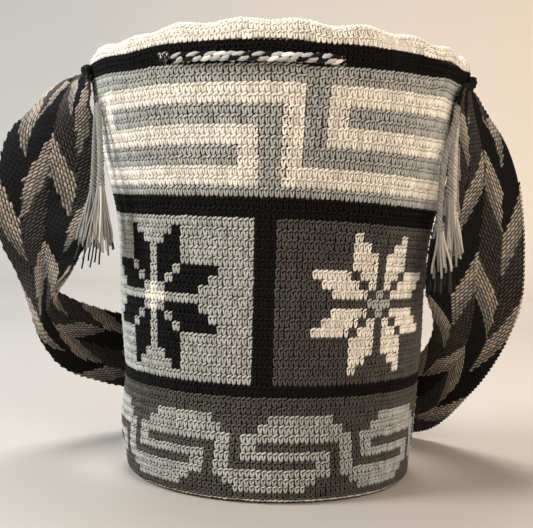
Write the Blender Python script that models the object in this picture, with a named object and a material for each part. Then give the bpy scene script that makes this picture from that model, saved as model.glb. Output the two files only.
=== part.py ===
"""Crocheted shoulder bag: one round vessel of tapestry crochet, a woven chevron strap sewn to its
two sides, a braided drawstring laced through two eyelets, and the twisted tassels of the strap ends.

The origin is the middle of the flat base. The front faces -Y, the strap seams are at -X and +X."""
import math

import bmesh
import bpy
from mathutils import Vector

# Driving dimensions in metres
BAG_HEIGHT = 0.300
WALL = 0.0045
BASE_THICKNESS = 0.005
BASE_RADIUS = 0.094
FOOT_RADIUS = 0.0975
WAIST_RADIUS = 0.102
CHEST_RADIUS = 0.109
SHOULDER_RADIUS = 0.120
RIM_RADIUS = 0.130
LIP_RADIUS = 0.1265
BELLY_DROOP = 0.0055
RIM_DROOP = 0.0075
ROW_RELIEF = 0.0010
SEAT_GAP = 0.0004

STRAP_WIDTH = 0.070
STRAP_THICKNESS = 0.0030
STRAP_CROWN = 0.0006
STRAP_COLUMNS = 4
STRAP_STEP = 0.0140

CORD_DIAMETER = 0.006
CORD_BELOW_LIP = 0.0235
EYELET_LENGTH = 0.019
EYELET_HEIGHT = 0.0076
EYELET_LEFT = -31.0
EYELET_RIGHT = 16.0

TWIST_DIAMETER = 0.005
FRINGE_DIAMETER = 0.0125
KNOT_DIAMETER = 0.0075

SEGMENTS = 32
FRONT = 270.0

# Crochet rows from the foot up: the field, how many rows it has, and the height of one row
FOOT_HEIGHT = 0.0085
FIELDS = (
    ("scroll", 9, 0.00524), ("ground", 2, 0.0064), ("line", 1, 0.0063), ("panel", 17, 0.00616),
    ("line", 2, 0.0066), ("plain", 1, 0.0064), ("meander", 10, 0.0063), ("plain", 2, 0.0060),
    ("line", 3, 0.0050), ("rim", 2, 0.0045),
)
STITCHES = 196

YARNS = {
    "cream": (0.80, 0.70, 0.55),
    "light_grey": (0.36, 0.38, 0.35),
    "dark_grey": (0.090, 0.083, 0.075),
    "black": (0.012, 0.011, 0.011),
}


def yarn_material(name):
    """A matt spun yarn in one of the bag's four colours."""
    material = bpy.data.materials.get(name)
    if material is None:
        material = bpy.data.materials.new(name)
        material.use_nodes = True
        shader = material.node_tree.nodes["Principled BSDF"]
        shader.inputs["Base Color"].default_value = (*YARNS[name], 1.0)
        shader.inputs["Roughness"].default_value = 0.85
        shader.inputs["Metallic"].default_value = 0.0
    return material


def add_object(name, data, yarns):
    """Put a mesh or curve in the scene under the name of its piece."""
    piece = bpy.data.objects.new(name, data)
    for yarn in yarns:
        data.materials.append(yarn_material(yarn))
    bpy.context.collection.objects.link(piece)
    return piece


def through(points, x):
    """Value at x of the smooth curve through (x, value) points."""
    last = len(points) - 1
    if x <= points[0][0]:
        return points[0][1]
    if x >= points[last][0]:
        return points[last][1]
    i = max(k for k in range(last) if points[k][0] <= x)

    def slope(k):
        lower = max(k - 1, 0)
        upper = min(k + 1, last)
        return (points[upper][1] - points[lower][1]) / (points[upper][0] - points[lower][0])

    span = points[i + 1][0] - points[i][0]
    t = (x - points[i][0]) / span
    value = points[i][1] * (2 * t**3 - 3 * t**2 + 1) + points[i + 1][1] * (3 * t**2 - 2 * t**3)
    return value + span * (slope(i) * (t**3 - 2 * t**2 + t) + slope(i + 1) * (t**3 - t**2))


def ease(t):
    """Smooth step from 0 to 1."""
    t = min(max(t, 0.0), 1.0)
    return t * t * (3 - 2 * t)


# The bag is narrow at its foot and flares towards the drawstring; the lip rolls in a little.
OUTLINE = (
    (0.0, FOOT_RADIUS - 0.0005),
    (0.04 * BAG_HEIGHT, FOOT_RADIUS),
    (0.25 * BAG_HEIGHT, WAIST_RADIUS),
    (0.60 * BAG_HEIGHT, CHEST_RADIUS),
    (0.75 * BAG_HEIGHT, SHOULDER_RADIUS),
    (0.95 * BAG_HEIGHT, RIM_RADIUS),
    (BAG_HEIGHT, LIP_RADIUS),
)


def droop(height, azimuth):
    """How far the wall sinks at the two sides, where the strap pulls on the soft rim.

    The upper half sinks gently, more at -X than at +X, and the rim itself sinks further."""
    share = height / BAG_HEIGHT
    turn = math.radians(azimuth)
    belly = BELLY_DROOP * (0.625 - 0.375 * math.cos(turn)) * ease((share - 0.50) / 0.37)
    rim = RIM_DROOP * ease((share - 0.90) / 0.10)
    return math.cos(turn) ** 2 * (belly + rim)


def wall_radius(height, azimuth):
    """Outside radius of the bag at a height above the floor and an azimuth."""
    level = height
    for _ in range(12):
        level = height + droop(level, azimuth)
    return through(OUTLINE, level)


def facet_radius(height, azimuth):
    """Outside radius of the flat facet that the round wall has at a height and azimuth."""
    step = 2 * math.pi / SEGMENTS
    turn = math.radians(azimuth) % step - step / 2
    return wall_radius(height, azimuth) * math.cos(step / 2) / math.cos(turn)


def polar(radius, azimuth, height):
    """Point at a radius and azimuth from the bag's axis."""
    angle = math.radians(azimuth)
    return Vector((radius * math.cos(angle), radius * math.sin(angle), height))


def row_starts():
    """Height at which each crochet row starts, its field, and its place in the field from the top."""
    rows = []
    height = FOOT_HEIGHT
    total = sum(count * pitch for _, count, pitch in FIELDS)
    stretch = (BAG_HEIGHT - 0.5 * WALL - FOOT_HEIGHT) / total
    for field, count, pitch in FIELDS:
        for k in range(count):
            rows.append((height, field, count - 1 - k))
            height += pitch * stretch
    rows.append((height, "rim", 0))
    return rows


def body_profile():
    """Half section of the vessel, from the middle of the base round the outside to the inside.

    Every row of stitches bulges between the two grooves that part it from its neighbours."""
    groove = ROW_RELIEF / 2
    outside = [(0.0, 0.0), (BASE_RADIUS, 0.0), (0.5 * (BASE_RADIUS + FOOT_RADIUS) + 0.0008, 0.0025)]
    rows = row_starts()
    for (height, _, _), (above, _, _) in zip(rows, rows[1:]):
        outside.append((through(OUTLINE, height) - groove, height))
        middle = height + 0.55 * (above - height)
        outside.append((through(OUTLINE, middle) + groove, middle))
    top = rows[-1][0]
    lip = 0.5 * WALL
    for step in range(5):
        angle = math.pi * step / 4
        radius = through(OUTLINE, top) - lip + lip * math.cos(angle)
        outside.append((radius, top + lip * math.sin(angle)))
    inside = []
    bottom = BASE_THICKNESS + 0.006
    for step in range(1, 11):
        height = top + (bottom - top) * (step / 10) ** 1.4
        inside.append((through(OUTLINE, height) - WALL, height))
    inside.append((FOOT_RADIUS - WALL - 0.005, BASE_THICKNESS))
    inside.append((0.0, BASE_THICKNESS))
    return outside + inside


def make_bag_body():
    """The vessel, turned from its half section, let down at the sides and pierced by the eyelets."""
    bm = bmesh.new()
    verts = [bm.verts.new((radius, 0.0, height)) for radius, height in body_profile()]
    edges = [bm.edges.new(pair) for pair in zip(verts, verts[1:])]
    bmesh.ops.spin(bm, geom=verts + edges, cent=(0, 0, 0), axis=(0, 0, 1), angle=2 * math.pi,
                   steps=SEGMENTS, use_merge=True)
    bmesh.ops.remove_doubles(bm, verts=bm.verts, dist=0.00002)
    bmesh.ops.recalc_face_normals(bm, faces=bm.faces)
    colour_rows(bm)
    for vert in bm.verts:
        azimuth = math.degrees(math.atan2(vert.co.y, vert.co.x))
        vert.co.z -= droop(vert.co.z, azimuth)
    mesh = bpy.data.meshes.new("bag_body")
    bm.to_mesh(mesh)
    bm.free()
    body = add_object("bag_body", mesh, tuple(YARNS))
    for side, degrees in (("left", EYELET_LEFT), ("right", EYELET_RIGHT)):
        cut = body.modifiers.new("eyelet_" + side, "BOOLEAN")
        cut.object = make_eyelet("eyelet_cutter_" + side, FRONT + degrees)
        cut.operation = "DIFFERENCE"


def meander(column, down):
    """Cream key meander on light grey: runs two rows high, 49 stitches to a repeat."""
    s = (column - 9) % 49
    cream = (
        s < 44,
        s < 4 or 40 <= s < 44,
        s < 36 or 40 <= s < 44,
        32 <= s < 36 or 40 <= s < 44,
        s < 36 or s >= 40,
    )
    return "cream" if cream[down // 2] else "light_grey"


def panel(column, down):
    """Light and dark panels by turns, parted by black bars, each with an eight-petalled star."""
    s = (column + 4) % 98
    if s % 49 < 4:
        return "black"
    dark = s < 49
    dx = abs(s % 49 - 26.5)
    dy = abs(down - 8)
    upright = 2 <= dy <= 7 and max(1, 2 * dy - 9) <= dx <= min(2 * dy - 2, 6)
    level = 1 <= dy <= 3 and 2 * dy + 2 <= dx <= 2 * dy + 9
    if upright or level:
        return "cream" if dark else "black"
    if dx <= 3 and dy == 0:
        return "light_grey" if dark else "cream"
    return "dark_grey" if dark else "light_grey"


def scroll(column, down):
    """Light grey running scrolls on dark grey, 28 stitches to a repeat, alike when turned round."""
    s = (column - 3 + 14) % 28 - 14
    if down > 4:
        s = -s
        down = 8 - down
    runs = ((-5.5, 8.5), (-8, 12), (-10.5, 14), (-10.5, -7), (-9.5, 9.5))
    light = runs[down][0] < s < runs[down][1] or (down > 2 and s > 12.5)
    return "light_grey" if light else "dark_grey"


def yarn_at(height, azimuth):
    """Yarn that shows at a height, before the wall sinks, and an azimuth."""
    plain = {"ground": "dark_grey", "line": "black", "plain": "light_grey", "rim": "cream"}
    rows = row_starts()
    if height < FOOT_HEIGHT:
        return "dark_grey" if height > 0.001 else "cream"
    field, down = [(field, down) for start, field, down in rows if start <= height][-1]
    column = ((azimuth - FRONT + 180.0) % 360.0 - 180.0) * STITCHES / 360.0
    if field == "meander":
        return meander(column, down)
    if field == "panel":
        return panel(column, down)
    if field == "scroll":
        return scroll(column, down)
    return plain[field]


def colour_rows(bm):
    """Give every face of the vessel the yarn of the stitches it stands for."""
    names = list(YARNS)
    for face in bm.faces:
        centre = face.calc_center_median()
        azimuth = math.degrees(math.atan2(centre.y, centre.x))
        face.material_index = names.index(yarn_at(centre.z, azimuth))


def cord_height(azimuth):
    """Height of the drawstring, which sinks with the rim."""
    level = BAG_HEIGHT - CORD_BELOW_LIP
    return level - droop(level, azimuth)


def make_eyelet(name, azimuth):
    """Cutter for one slot that the drawstring passes through."""
    bm = bmesh.new()
    bmesh.ops.create_cube(bm, size=1.0)
    bmesh.ops.scale(bm, verts=bm.verts, vec=(6 * WALL, EYELET_LENGTH, EYELET_HEIGHT))
    upright = [edge for edge in bm.edges if abs(edge.verts[0].co.x - edge.verts[1].co.x) > WALL]
    bmesh.ops.bevel(bm, geom=upright, offset=0.3 * EYELET_HEIGHT, offset_type="OFFSET", segments=1,
                    profile=0.5, affect="EDGES", material=-1)
    mesh = bpy.data.meshes.new(name)
    bm.to_mesh(mesh)
    bm.free()
    cutter = bpy.data.objects.new(name, mesh)
    height = cord_height(azimuth)
    cutter.location = polar(wall_radius(height, azimuth) - WALL / 2, azimuth, height)
    cutter.rotation_euler.z = math.radians(azimuth)
    cutter.display_type = "WIRE"
    cutter.hide_render = True
    bpy.context.collection.objects.link(cutter)
    return cutter


def cord_angles():
    """Angles of the drawstring's points from the front: close together where it dives through."""
    angles = []
    degrees = -180.0
    while degrees < 180.0 - 1.0:
        angles.append(degrees)
        near = min(abs(degrees + 2.0 - EYELET_LEFT), abs(degrees + 2.0 - EYELET_RIGHT)) < 9.0
        degrees += 2.0 if near else 7.5
    return angles


def make_drawstring():
    """The braided cord: outside across the front between the eyelets, inside all the way round."""
    crossing = math.degrees(0.52 * EYELET_LENGTH / RIM_RADIUS)
    points = []
    for degrees in cord_angles():
        left = ease((degrees - EYELET_LEFT + crossing) / (2 * crossing))
        right = ease((EYELET_RIGHT + crossing - degrees) / (2 * crossing))
        azimuth = FRONT + degrees
        height = cord_height(azimuth)
        wall = wall_radius(height, azimuth)
        offset = SEAT_GAP + CORD_DIAMETER / 2
        inside = (wall - WALL) * math.cos(math.pi / SEGMENTS) - offset - 0.0008
        outside = wall + ROW_RELIEF / 2 + offset
        radius = inside + (outside - inside) * left * right
        points.append((polar(radius, azimuth, height), 1.0))
    add_object("drawstring", rope_curve("drawstring", points, CORD_DIAMETER, closed=True), ("cream",))


def rope_curve(name, points, diameter, closed=False):
    """A round cord along (point, thickness) pairs, closed at its ends by flat caps."""
    curve = bpy.data.curves.new(name, "CURVE")
    curve.dimensions = "3D"
    curve.bevel_depth = diameter / 2
    curve.bevel_resolution = 2
    curve.use_fill_caps = True
    spline = curve.splines.new("POLY")
    spline.points.add(len(points) - 1)
    for target, (point, thickness) in zip(spline.points, points):
        target.co = (*point, 1.0)
        target.radius = thickness
    spline.use_cyclic_u = closed
    return curve


# Route of the strap. Each station: azimuth of the inner edge, height of the outer edge as a share of
# the bag's height, clearance of the inner edge from the wall, azimuth of the width, dip of the width.
STRAP_ROUTE = (
    (180.0, 0.945, 0.000, 90.0, 0.0),
    (180.0, 0.930, 0.000, 90.0, 0.0),
    (193.0, 0.900, 0.003, 110.0, 0.0),
    (192.5, 0.870, 0.003, 120.0, 0.0),
    (190.0, 0.823, 0.004, 133.0, 0.0),
    (186.5, 0.783, 0.004, 147.0, 0.0),
    (182.0, 0.718, 0.006, 164.0, 0.0),
    (180.5, 0.619, 0.014, 171.0, 1.0),
    (183.0, 0.520, 0.023, 155.0, 5.0),
    (181.0, 0.435, 0.031, 135.0, 13.0),
    (178.0, 0.350, 0.038, 122.0, 22.0),
    (173.0, 0.262, 0.047, 111.0, 38.0),
    (164.0, 0.190, 0.049, 104.0, 54.0),
    (147.0, 0.130, 0.043, 98.0, 60.0),
    (117.0, 0.080, 0.042, 94.0, 60.0),
    (90.0, 0.030, 0.042, 90.0, 60.0),
    (61.0, 0.006, 0.034, 70.0, 62.0),
    (38.0, 0.030, 0.024, 55.0, 54.0),
    (17.0, 0.150, 0.014, 47.0, 38.0),
    (6.0, 0.280, 0.008, 31.0, 20.0),
    (1.0, 0.400, 0.006, 20.0, 6.0),
    (-4.0, 0.510, 0.004, 22.0, 0.0),
    (-9.0, 0.625, 0.003, 34.0, 0.0),
    (-12.0, 0.715, 0.003, 47.0, 0.0),
    (-14.0, 0.785, 0.003, 56.0, 0.0),
    (-14.5, 0.842, 0.003, 66.0, 0.0),
    (-14.5, 0.893, 0.003, 76.0, 0.0),
    (0.0, 0.925, 0.000, 90.0, 0.0),
    (0.0, 0.942, 0.000, 90.0, 0.0),
)
CHEVRON_LENGTH = 0.071
CHEVRON_SLANT = 0.035
CHEVRON_SHIFT = 0.029

# Distance from the wall to the middle layer of a strap end that is sewn flat on it
STRAP_STAND = SEAT_GAP + ROW_RELIEF / 2 + STRAP_THICKNESS / 2 + STRAP_CROWN


def strap_edge(station):
    """Inner edge point and width direction of one station of the strap."""
    azimuth, share, clearance, facing, dip = station
    pitch = math.radians(dip)
    facing = math.radians(facing)
    level = math.cos(pitch)
    across = Vector((level * math.cos(facing), level * math.sin(facing), -math.sin(pitch)))
    height = share * BAG_HEIGHT
    inner_height = height - across.z * STRAP_WIDTH
    stand = clearance + STRAP_STAND
    sewn = clearance == 0.0
    if sewn:
        turn = math.degrees(0.5 * STRAP_WIDTH / (RIM_RADIUS + stand))
        azimuth += turn if azimuth > 90 else -turn
        return polar(RIM_RADIUS + stand, azimuth, height), across, 1.0
    return polar(wall_radius(inner_height, azimuth) + stand, azimuth, inner_height), across, 0.0


def strap_samples():
    """Stations along the strap at an even pitch, each with its edge, width direction and seam share."""
    knots = [strap_edge(station) for station in STRAP_ROUTE]
    travelled = [0.0]
    for (here, across_here, _), (there, across_there, _) in zip(knots, knots[1:]):
        middle = (there + across_there * STRAP_WIDTH / 2) - (here + across_here * STRAP_WIDTH / 2)
        travelled.append(travelled[-1] + middle.length)

    def at(distance):
        values = []
        for part, axis in ((0, 0), (0, 1), (0, 2), (1, 0), (1, 1), (1, 2)):
            values.append(through([(d, knot[part][axis]) for d, knot in zip(travelled, knots)], distance))
        i = max(k for k in range(len(knots) - 1) if travelled[k] <= distance + 1e-9)
        share = (distance - travelled[i]) / (travelled[i + 1] - travelled[i])
        sewn = knots[i][2] + (knots[i + 1][2] - knots[i][2]) * ease(share)
        return Vector(values[:3]), Vector(values[3:]).normalized(), sewn

    count = round(travelled[-1] / STRAP_STEP)
    return [at(travelled[-1] * k / count) for k in range(count + 1)]


def strap_point(edge, across, sewn, reach):
    """Point of the strap's middle layer at a reach from its inner edge; sewn ends follow the wall."""
    flat = edge + across * reach
    start = math.degrees(math.atan2(edge.y, edge.x))
    turn = math.degrees(reach / math.hypot(edge.x, edge.y))
    if edge.x < 0:
        start = start % 360.0
        turn = -turn
    wrapped = polar(RIM_RADIUS + STRAP_STAND, start + turn, edge.z)
    return flat.lerp(wrapped, sewn)


def make_strap():
    """The woven band: a flat section of crowned columns carried along the route."""
    samples = strap_samples()
    bm = bmesh.new()
    across_steps = 2 * STRAP_COLUMNS
    rings = []
    for index, (edge, across, sewn) in enumerate(samples):
        before = samples[max(index - 1, 0)]
        after = samples[min(index + 1, len(samples) - 1)]
        upper = []
        lower = []
        for k in range(across_steps + 1):
            reach = STRAP_WIDTH * k / across_steps
            here = strap_point(edge, across, sewn, reach)
            along = strap_point(*after, reach) - strap_point(*before, reach)
            beside = (strap_point(edge, across, sewn, min(reach + 0.001, STRAP_WIDTH))
                      - strap_point(edge, across, sewn, max(reach - 0.001, 0.0)))
            normal = along.cross(beside).normalized()
            half = STRAP_THICKNESS / 2
            if k in (0, across_steps):
                half *= 0.45
            elif k % 2:
                half += STRAP_CROWN
            upper.append(bm.verts.new(here + normal * half))
            lower.append(bm.verts.new(here - normal * half))
        rings.append(upper + lower[::-1])
    for row, (ring, following) in enumerate(zip(rings, rings[1:])):
        size = len(ring)
        distance = (min(row, len(rings) - 2 - row) + 0.5) * STRAP_STEP
        for k in range(size):
            other = (k + 1) % size
            face = bm.faces.new((ring[k], ring[other], following[other], following[k]))
            column = min(k, 2 * across_steps + 1 - k)
            face.material_index = chevron(distance, column)
    bm.faces.new(rings[0])
    bm.faces.new(rings[-1][::-1])
    bmesh.ops.recalc_face_normals(bm, faces=bm.faces)
    mesh = bpy.data.meshes.new("strap")
    bm.to_mesh(mesh)
    bm.free()
    add_object("strap", mesh, tuple(YARNS))
    for polygon in mesh.polygons:
        polygon.use_smooth = True


def chevron(distance, column):
    """Yarn of a face of the strap: stripes that slant up and down across its four columns.

    The stripes of the two outer columns start where those of the inner ones end."""
    reach = (column + 0.5) * STRAP_WIDTH / (2 * STRAP_COLUMNS)
    fold = STRAP_WIDTH / STRAP_COLUMNS
    start = (1 - abs((reach / fold) % 2 - 1)) * CHEVRON_SLANT
    if column // 2 in (0, STRAP_COLUMNS - 1):
        start += CHEVRON_SHIFT
    phase = (distance - start) / CHEVRON_LENGTH
    even = math.floor(phase) % 2 == 0
    fill = "black" if (column >= STRAP_COLUMNS) == even else "dark_grey"
    share = phase % 1.0
    return list(YARNS).index("cream" if share < 0.24 else "light_grey" if share < 0.41 else fill)


# Tassels: piece, azimuth, depth of the cord's start below the lip, length of the cord, length of the
# loose ends, how far it leans sideways, yarn
TASSELS = (
    ("tassel_left_1", 201.5, 0.037, 0.072, 0.036, -0.003, "light_grey"),
    ("tassel_left_2", 205.5, 0.037, 0.070, 0.038, 0.005, "light_grey"),
    ("tassel_right_1", -31.0, 0.042, 0.080, 0.034, -0.008, "light_grey"),
    ("tassel_right_2", -26.5, 0.038, 0.076, 0.040, -0.002, "light_grey"),
    ("tassel_right_3", -22.3, 0.042, 0.074, 0.032, 0.003, "cream"),
    ("tassel_right_4", -18.2, 0.046, 0.048, 0.034, 0.005, "light_grey"),
)


def make_tassel(name, azimuth, depth, cord, fringe, lean, yarn):
    """A twisted cord from the strap seam, with a knot and its loose yarn ends below."""
    start = BAG_HEIGHT - depth
    out = SEAT_GAP + ROW_RELIEF / 2 + TWIST_DIAMETER / 2
    top = facet_radius(start, azimuth) + out
    sideways = Vector((-math.sin(math.radians(azimuth)), math.cos(math.radians(azimuth)), 0.0))
    points = []
    steps = 6
    for step in range(steps + 1):
        down = step / steps
        place = polar(top, azimuth, start - cord * down) + sideways * lean * ease(down)
        points.append((place, 1.0))
    knot = KNOT_DIAMETER / TWIST_DIAMETER
    brush = FRINGE_DIAMETER / TWIST_DIAMETER
    shapes = ((0.10, knot), (0.22, knot), (0.32, 0.8 * knot), (0.65, brush), (1.0, 0.85 * brush))
    for share, thickness in shapes:
        place = polar(top, azimuth, start - cord - fringe * share) + sideways * lean * (1 + share)
        points.append((place, thickness))
    add_object(name, rope_curve(name, points, TWIST_DIAMETER), (yarn,))


def clear_scene():
    """Start from an empty scene."""
    for old in list(bpy.data.objects):
        bpy.data.objects.remove(old)


clear_scene()
make_bag_body()
make_strap()
make_drawstring()
for tassel in TASSELS:
    make_tassel(*tassel)
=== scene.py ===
import math

import bmesh
import bpy
import numpy as np
from mathutils import Matrix, Vector


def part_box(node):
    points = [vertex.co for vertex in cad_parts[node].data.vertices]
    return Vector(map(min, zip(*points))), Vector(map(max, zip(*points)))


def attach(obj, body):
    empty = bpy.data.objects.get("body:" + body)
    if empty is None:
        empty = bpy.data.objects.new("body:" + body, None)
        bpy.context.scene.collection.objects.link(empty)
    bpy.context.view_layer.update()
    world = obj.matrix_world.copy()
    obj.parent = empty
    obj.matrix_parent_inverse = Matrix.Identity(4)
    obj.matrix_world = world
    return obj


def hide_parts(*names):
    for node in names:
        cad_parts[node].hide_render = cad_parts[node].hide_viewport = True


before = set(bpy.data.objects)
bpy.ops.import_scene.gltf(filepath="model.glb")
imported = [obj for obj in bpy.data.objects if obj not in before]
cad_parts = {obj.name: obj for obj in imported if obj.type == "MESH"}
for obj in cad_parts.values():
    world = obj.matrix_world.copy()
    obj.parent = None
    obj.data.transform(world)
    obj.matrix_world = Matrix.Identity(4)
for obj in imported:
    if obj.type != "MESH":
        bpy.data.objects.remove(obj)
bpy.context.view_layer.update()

# Camera: a little above half height in front of the bag, long lens, turned slightly anticlockwise,
# so that the bag leans to the right as it does in the photograph.
FRAME_WIDTH = 533
FOCAL_PIXELS = 1350.0
SENSOR = 36.0
CAMERA_PLACE = (-0.0052, -0.942, 0.208)
CAMERA_DIP = math.radians(3.9)
CAMERA_ROLL = math.radians(1.5)

camera = bpy.data.objects.new("camera", bpy.data.cameras.new("camera"))
bpy.context.collection.objects.link(camera)
camera.data.sensor_width = SENSOR
camera.data.lens = FOCAL_PIXELS * SENSOR / FRAME_WIDTH
camera.data.clip_start = 0.01
camera.matrix_world = (Matrix.Translation(CAMERA_PLACE)
                       @ Matrix.Rotation(math.pi / 2 - CAMERA_DIP, 4, "X")
                       @ Matrix.Rotation(CAMERA_ROLL, 4, "Z"))
bpy.context.scene.camera = camera
bpy.context.scene.view_settings.view_transform = "Standard"

# Studio: one pale cloth sweep, floor and wall in one piece, under a cool window light from the
# left, a warm one from the right and a soft pale sky.
SWEEP_FRONT = -2.5
SWEEP_DEPTH = 2.0
SWEEP_HEIGHT = 2.2
SWEEP_HALF = 3.0
SWEEP_BEND = 0.5
SWEEP_LEFT = (0.385, 0.39, 0.385, 1.0)
SWEEP_RIGHT = (0.57, 0.49, 0.415, 1.0)
SWEEP_PALER = 1.6


def make_sweep():
    bm = bmesh.new()
    line = [bm.verts.new((-SWEEP_HALF, SWEEP_FRONT, 0.0)),
            bm.verts.new((-SWEEP_HALF, SWEEP_DEPTH - SWEEP_BEND, 0.0))]
    for step in range(1, 13):
        angle = math.radians(90.0 * step / 12)
        line.append(bm.verts.new((-SWEEP_HALF, SWEEP_DEPTH - SWEEP_BEND + SWEEP_BEND * math.sin(angle),
                                  SWEEP_BEND - SWEEP_BEND * math.cos(angle))))
    line.append(bm.verts.new((-SWEEP_HALF, SWEEP_DEPTH, SWEEP_HEIGHT)))
    edges = [bm.edges.new(pair) for pair in zip(line, line[1:])]
    made = bmesh.ops.extrude_edge_only(bm, edges=edges)["geom"]
    moved = [item for item in made if isinstance(item, bmesh.types.BMVert)]
    bmesh.ops.translate(bm, verts=moved, vec=(2 * SWEEP_HALF, 0, 0))
    bmesh.ops.recalc_face_normals(bm, faces=bm.faces)
    mesh = bpy.data.meshes.new("sweep")
    bm.to_mesh(mesh)
    bm.free()
    mesh.shade_smooth()
    sweep = bpy.data.objects.new("sweep", mesh)
    bpy.context.collection.objects.link(sweep)
    return sweep


def sweep_material():
    """Pale cloth, with painted light: cool on the left, warm on the right; and paler towards the wall."""
    material = bpy.data.materials.new("pale_cloth_floor")
    material.use_nodes = True
    nodes = material.node_tree.nodes
    links = material.node_tree.links
    shader = nodes["Principled BSDF"]
    shader.inputs["Roughness"].default_value = 0.9
    place = nodes.new("ShaderNodeTexCoord")
    split = nodes.new("ShaderNodeSeparateXYZ")
    links.new(place.outputs["Object"], split.inputs[0])
    ramp = nodes.new("ShaderNodeMapRange")
    ramp.inputs["From Min"].default_value = -0.45
    ramp.inputs["From Max"].default_value = 0.55
    links.new(split.outputs["X"], ramp.inputs["Value"])
    # Painted light: the cloth runs from the window's cool tint on the left to the lamp's warm tint on the
    # right
    mix = nodes.new("ShaderNodeMix")
    mix.data_type = "RGBA"
    mix.inputs["A"].default_value = SWEEP_LEFT
    mix.inputs["B"].default_value = SWEEP_RIGHT
    links.new(ramp.outputs["Result"], mix.inputs["Factor"])
    paler = nodes.new("ShaderNodeMapRange")
    paler.inputs["From Min"].default_value = 0.9
    paler.inputs["From Max"].default_value = 1.8
    paler.inputs["To Min"].default_value = 1.0
    paler.inputs["To Max"].default_value = SWEEP_PALER
    links.new(split.outputs["Y"], paler.inputs["Value"])
    scale = nodes.new("ShaderNodeVectorMath")
    scale.operation = "SCALE"
    links.new(mix.outputs["Result"], scale.inputs[0])
    links.new(paler.outputs["Result"], scale.inputs["Scale"])
    links.new(scale.outputs["Vector"], shader.inputs["Base Color"])
    return material


def area_light(name, place, target, size, power, colour):
    light = bpy.data.lights.new(name, "AREA")
    light.shape = "DISK"
    light.size = size
    light.energy = power
    light.color = colour
    lamp = bpy.data.objects.new(name, light)
    lamp.location = place
    lamp.rotation_euler = (Vector(target) - Vector(place)).to_track_quat("-Z", "Y").to_euler()
    bpy.context.collection.objects.link(lamp)


floor = make_sweep()
floor.data.materials.append(sweep_material())
area_light("window_left", (-1.5, -0.50, 1.1), (0, 0, 0.16), 0.9, 35.0, (0.95, 0.98, 1.0))
area_light("lamp_right", (0.55, -1.5, 1.05), (0, 0, 0.16), 0.9, 20.0, (1.0, 0.85, 0.68))
area_light("above", (-0.2, 0.7, 1.5), (0, 0, 0.1), 1.0, 24.0, (1.0, 0.97, 0.93))
world = bpy.data.worlds.new("pale_room")
world.use_nodes = True
world.node_tree.nodes["Background"].inputs["Color"].default_value = (0.95, 0.93, 0.90, 1.0)
world.node_tree.nodes["Background"].inputs["Strength"].default_value = 0.33
bpy.context.scene.world = world

# Bag body: one vessel of tapestry crochet, worked round and round in cotton of four colours from
# the middle of the base to the rim. Every stitch is modelled: its slanted top loop and its two legs.
FRONT = 270.0
BAG_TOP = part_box("bag_body")[1][2]
RIM_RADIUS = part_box("bag_body")[1][0]
CREAM, LIGHT, DARK, BLACK = range(4)
YARN_COLOURS = ((0.88, 0.825, 0.735), (0.43, 0.435, 0.41), (0.085, 0.078, 0.071), (0.0022, 0.002, 0.0022))
YARN_NAMES = ("cream_cotton", "light_grey_cotton", "dark_grey_cotton", "black_cotton")

# Rows from the foot to the rolled lip: field, rows, stitches in a round, azimuth from the front of the
# edge of one stitch, level where the field ends
FIELDS = (
    ("base", 1, 192, -10.4, 0.0006), ("foot", 2, 192, -10.4, 0.0072), ("scroll", 9, 192, -10.4, 0.0557),
    ("ground", 2, 196, -7.2, 0.0666), ("line", 1, 196, -7.2, 0.0742), ("panel", 17, 196, -7.2, 0.1795),
    ("line", 2, 196, -7.2, 0.1926), ("plain", 1, 220, 13.9, 0.199), ("meander", 10, 220, 13.9, 0.262),
    ("plain", 2, 220, 13.9, 0.273), ("line", 3, 240, 0.0, 0.2868), ("rim", 4, 240, 0.0, 0.309),
)
FOOT_LEVEL = -0.004

# Eyelets: their level, azimuths from the front, half length in degrees and half height
CORD_LEVEL = BAG_TOP - 0.0235
EYELETS = (-31.0, 16.0)
EYELET_HALF = (4.1, 0.0038)
EYELET_STITCHES = 2.3

# Section of the bag: level, radius, height. Levels are heights, except round the foot and the lip.
SECTION = (
    (-0.0965, 0.0, 0.0016), (-0.050, 0.0465, 0.0016), (-0.020, 0.0765, 0.0016),
    (-0.008, 0.0885, 0.0016), (-0.003, 0.0935, 0.0018), (0.002, 0.0965, 0.0034), (0.008, 0.0972, 0.0082),
    (0.075, 0.102, 0.075), (0.180, 0.109, 0.180), (0.225, 0.120, 0.225), (0.270, RIM_RADIUS - 0.002, 0.270),
    (0.285, RIM_RADIUS, 0.285), (0.2935, RIM_RADIUS - 0.0008, BAG_TOP - 0.0065),
    (0.299, RIM_RADIUS - 0.0035, BAG_TOP - 0.0022), (0.304, RIM_RADIUS - 0.0075, BAG_TOP - 0.0015),
    (0.309, RIM_RADIUS - 0.0105, BAG_TOP - 0.0045),
)

# Soft wall: how far the rim and the two sides sink, in metres, and how far the foot and the left side
# swell and the right seam draws in, as shares of the radius
RIM_DROOP = 0.0075
LEFT_DROOP = 0.0055
RIGHT_DROOP = 0.0077
FOOT_BULGE = 0.12
LEFT_BULGES = (0.045, 0.018)
SEAM_PINCH = 0.045


def ease(t):
    t = np.clip(t, 0.0, 1.0)
    return t * t * (3 - 2 * t)


def sink(level, angle):
    """How far a level has sunk at an angle: the strap pulls the soft sides down, most at the rim."""
    share = level / BAG_TOP
    side = np.cos(angle)
    edge = RIM_DROOP * ease((share - 0.90) / 0.10)
    left = LEFT_DROOP * (0.625 - 0.375 * side) * ease((share - 0.50) / 0.37)
    right = RIGHT_DROOP * ease((share - 0.25) / 0.38) * (1 - 0.72 * ease((share - 0.65) / 0.25))
    right = right * np.maximum(side, 0.0) ** 2
    return right + (left + edge) * ease(side ** 2 / (0.915 + 0.065 * side))


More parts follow.
